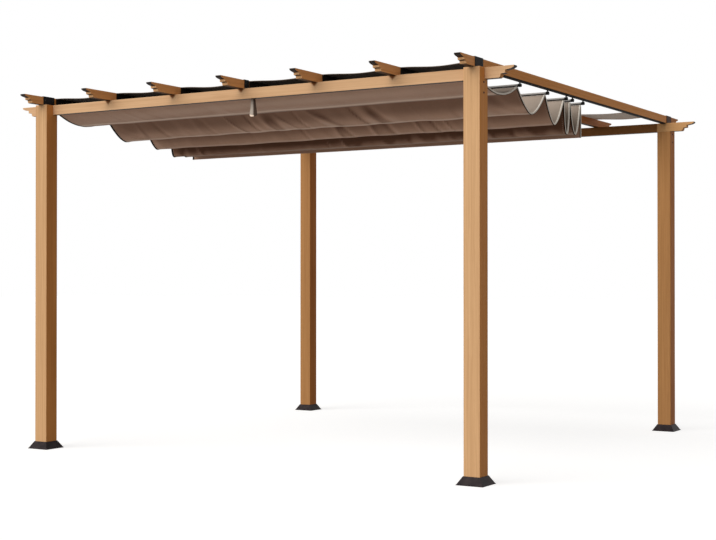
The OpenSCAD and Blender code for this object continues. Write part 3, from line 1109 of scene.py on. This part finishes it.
def edgePath(x, inset=0.0):
    inner = x - math.copysign(inset, x)
    return [clothPoint(inner, bay, share)[0] for bay, share in clothRows()]


def pathNormals(path):
    made = []
    for k in range(len(path)):
        down = path[min(k + 1, len(path) - 1)] - path[max(k - 1, 0)]
        made.append(Vector((1, 0, 0)).cross(down).normalized())
    return made


def makePiping(side, sign):
    path = edgePath(sign * clothHalfX, edging["pipingInset"])
    lifted = [p + n * edging["pipingLift"] for p, n in zip(path, pathNormals(path))]
    return tubesAlong(f"piping_{side}", [lifted], edging["piping"], edging["pipingSides"], pipingCloth)


def makeTape(side, sign):
    # painted shade: a near-black band under the cloth's edge
    width, row, drop = edging["tapeWidth"][side], edging["tapeRow"], edging["tapeDrop"]
    left, right = edgePath(sign * clothHalfX), edgePath(sign * clothHalfX, width)
    if sign > 0:
        left, right = right, left
    grid = [[a - n * drop, b - n * drop] for a, b, n in zip(left, right, pathNormals(left))]
    uvs = [[(0, k * row), (width, k * row)] for k in range(len(grid))]
    return sheetMesh(f"edgeTape_{side}", grid, uvs, edging["tapeHalf"], edgeShadeCloth)


def edgeStitches(side, sign):
    # one row of thread near the edge, on the top and the underside
    path = edgePath(sign * clothHalfX, edging["stitchInset"])
    normals = pathNormals(path)
    lift = cloth["half"] + edging["stitchLift"]
    spots, facings = [], []
    left = edging["stitchPitch"] / 2
    for k in range(len(path) - 1):
        step = path[k + 1] - path[k]
        length = step.length
        while left <= length:
            spot = path[k] + step * (left / length)
            for face in (-1, 1):
                spots.append(spot + normals[k] * face * lift)
                facings.append(step.normalized())
            left += edging["stitchPitch"]
        left -= length
    stitch = lathe("stitch", edging["thread"], edging["stitchSides"])
    return copiesAt(f"edgeStitches_{side}", stitch, spots, facings, coat["threadFinish"])


def makeWelts():
    # the sleeve line over each rod
    count, z = edging["weltSteps"], clothTop + edging["weltLift"]
    xs = [clothHalfX * (k / (count / 2) - 1) for k in range(count + 1)]
    lines = [[(x, c.y, z) for x in xs] for c in rodCentres]
    return tubesAlong("rodWelts", lines, edging["welt"], edging["pipingSides"], canopyCloth)


edgePieces = []
for side, sign in sides:
    edgePieces += [makePiping(side, sign), makeTape(side, sign)]
edgePieces += [edgeStitches(side, sign) for side, sign in sides]
edgePieces.append(makeWelts())
for piece in edgePieces:
    finishPiece(piece, "canopy_cloth")
print("canopy made")


eaveShape = {
    "half": 0.0008, "lift": 0.0012, "columns": 120, "rows": 14, "bays": baysAcross,
    "sag": 0.014,
    "sagVary": (0.8, 0.4),
    "varyRate": (2, 6),
    "seed": 4.0,
    "hem": 0.0016, "hemSides": 8,
}


def eavePoint(low, high, c, r):
    shape = eaveShape
    across = c / shape["columns"]
    x = low.x + (high.x - low.x) * c / shape["columns"]
    y = low.y + (high.y - low.y) * r / shape["rows"]
    sag = shape["sag"] * math.sin(math.pi * (across * shape["bays"] % 1.0)) ** 2
    least, spread = shape["sagVary"]
    sag *= least + spread * softNoise(x * shape["varyRate"][0], y * shape["varyRate"][1], shape["seed"])
    return Vector((x, y, low.z + shape["lift"] - sag))


def makeEave(depth, finish):
    low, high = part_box(f"eave_shade_{depth}")
    columns, rows = range(eaveShape["columns"] + 1), range(eaveShape["rows"] + 1)
    grid = [[eavePoint(low, high, c, r) for c in columns] for r in rows]
    uvs = [[(p.x, p.y) for p in line] for line in grid]
    piece = sheetMesh(f"eaveShade_{depth}", grid, uvs, eaveShape["half"], finish)
    edges = [grid[0], grid[-1]]
    hem = tubesAlong(f"eaveHem_{depth}", edges, eaveShape["hem"], eaveShape["hemSides"], finish)
    finishPiece(hem, "eave_cloth")
    finishPiece(piece, "eave_cloth", f"eave_shade_{depth}")


makeEave("front", eaveClothFrontShadedBelow)
makeEave("rear", eaveClothRearLitBelow)
print("eave shades made")


strapShape = {
    "rows": 40, "columns": 12, "half": 0.0009, "topHalf": 0.009,
    "turnBack": 0.01,    # how far the right edge turns back at the bottom
    "turnTop": 0.4,    # and the share of that at the top
    "tuck": 0.004,
    "corner": 0.01,
    "hem": (0.93, 0.2),   # painted highlight on the fold at the bottom: it starts this far down and ends this far across
}


def makeStrap():
    shape = strapShape
    low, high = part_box("pull_strap")
    middle, y = (low.x + high.x) / 2, (low.y + high.y) / 2
    topHalf, endHalf = shape["topHalf"], (high.x - low.x) / 2
    length = high.z - low.z
    acrossAll = [2 * c / shape["columns"] - 1 for c in range(shape["columns"] + 1)]
    litFoldStart, litFoldEnd = shape["hem"]
    grid, uvs, creases, rims = [], [], [], []
    for r in range(shape["rows"] + 1):
        share = r / shape["rows"]
        half = topHalf + (endHalf - topHalf) * share
        line = []
        for across in acrossAll:
            turn = shape["turnTop"] + (1 - shape["turnTop"]) * share
            back = shape["turnBack"] * max(0.0, across) * turn
            tuck = shape["tuck"] * share ** 3 * (1 - across * across)
            lift = shape["corner"] * share * across ** 4
            line.append(Vector((middle + across * half, y + back - tuck, high.z - length * share + lift)))
        grid.append(line)
        uvs.append([(across * half, length * share) for across in acrossAll])
        # painted shade over the right half, where the strap turns back, and painted highlight along the bottom
        # fold
        creases.append([-within(4 * across, 0.0, 1.0) for across in acrossAll])
        rims.append([1.0 if share > litFoldStart and across < litFoldEnd else 0.0 for across in acrossAll])
    marks = {"crease": (creases, creases), "rim": (rims, rims)}
    piece = sheetMesh("strapWeb", grid, uvs, shape["half"], strapCloth, marks)
    finishPiece(piece, "strap_webbing", "pull_strap")


makeStrap()
print("strap made")


screw = {
    "radius": 0.0055, "height": 0.0028, "recess": 0.0026, "sides": 12,
    "spin": 1.0,
    "postHeights": (2.073, 2.018), "postSize": 1.0, "postSeed": 7,
    "inset": 0.014, "rise": 0.52, "bracketSize": 0.7, "bracketSeed": 9,
}


def screwTemplate():
    r, h, recess = screw["radius"], screw["height"], screw["recess"]
    profile = [
        (r, 0), (r, h * 0.25), (r * 0.93, h * 0.62), (r * 0.75, h * 0.9),
        (recess * 1.1, h), (recess, h * 0.92), (recess * 0.95, h * 0.35), (0, h * 0.3),
    ]
    return lathe("screw", profile, screw["sides"])


def postScrewPlaces():
    made = []
    for side, sign in sides:
        for depth, _ in depths:
            low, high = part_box(f"post_{depth}_{side}")
            x, y = low.x if sign < 0 else high.x, (low.y + high.y) / 2
            made += [((x, y, z), (sign, 0, 0)) for z in screw["postHeights"]]
    return made


def bracketScrewPlaces():
    made = []
    for depth, _ in depths:
        for place in placeNames:
            low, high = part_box(f"bracket_{depth}_{place}")
            inset = min(screw["inset"], (high.y - low.y) / 4)
            z = low.z + screw["rise"] * (high.z - low.z)
            for sign, x in ((-1, low.x), (1, high.x)):
                made += [((x, y, z), (sign, 0, 0)) for y in (low.y + inset, high.y - inset)]
    return made


def makeScrews(name, made, size, seed):
    spots, facings = zip(*made)
    screws = copiesAt(name, screwTemplate(), spots, facings, coat["screwSteel"], size, screw["spin"], seed)
    finishPiece(screws, None)


makeScrews("postScrews", postScrewPlaces(), screw["postSize"], screw["postSeed"])
makeScrews("bracketScrews", bracketScrewPlaces(), screw["bracketSize"], screw["bracketSeed"])
print("screws made")
